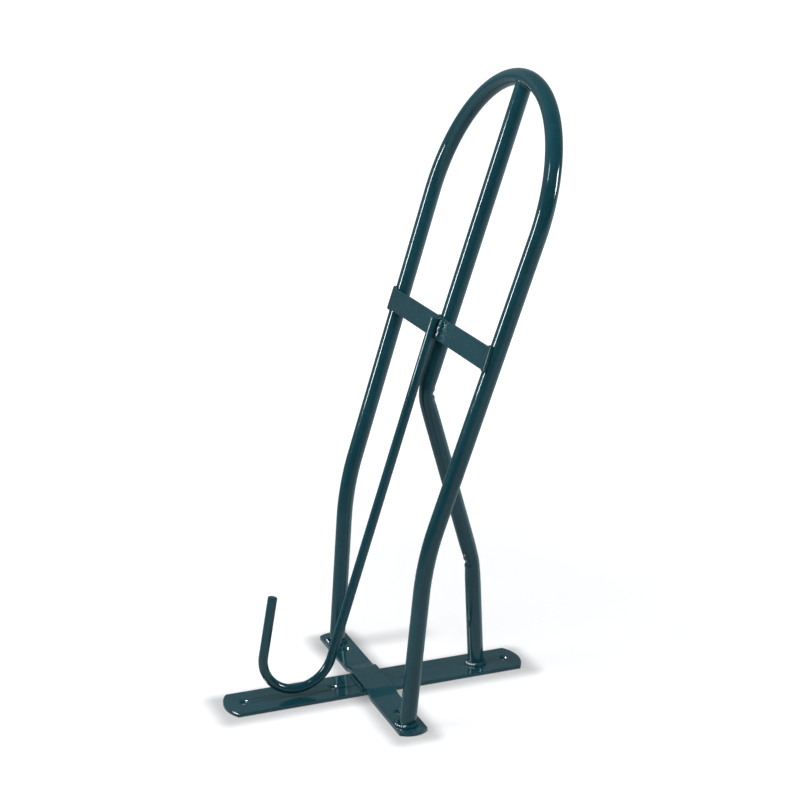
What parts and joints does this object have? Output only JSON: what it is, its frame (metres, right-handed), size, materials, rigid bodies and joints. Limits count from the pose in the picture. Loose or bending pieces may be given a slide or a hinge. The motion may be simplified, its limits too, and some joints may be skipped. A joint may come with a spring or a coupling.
{
  "type": "wall saddle rack",
  "caption": "Wall-mounted steel rack: a bent tube hoop with a ridge tube carries a saddle, and a J-shaped rod hook below it carries a bridle.",
  "frame": {"origin": "on the wall face, where the centre lines of the long and the short wall bar cross", "axes": "+Z out from the wall into the room, +X up the wall along the long wall bar (the bridle hook is at -X), +Y along the short wall bar to the left as seen from the room"},
  "size_m": [0.3477, 0.2884, 0.6453],
  "materials": {
    "powder_coat": "gloss powder coat, dark teal green, over steel",
    "coated_weld": "gloss powder coat, dark teal green, over weld beads"
  },
  "bodies": {
    "root": {"wall_bar_long": "powder_coat", "wall_bar_cross": "powder_coat", "saddle_hoop": "powder_coat", "ridge_tube": "powder_coat", "cross_strap": "powder_coat", "bridle_hook": "powder_coat", "foot_weld_right": "coated_weld", "foot_weld_left": "coated_weld", "ridge_foot_weld": "coated_weld", "apex_weld": "coated_weld", "strap_weld_right": "coated_weld", "strap_weld_middle": "coated_weld", "strap_weld_left": "coated_weld", "hook_weld": "coated_weld", "crossing_weld_lower": "coated_weld", "crossing_weld_upper": "coated_weld"}
  },
  "joints": []
}
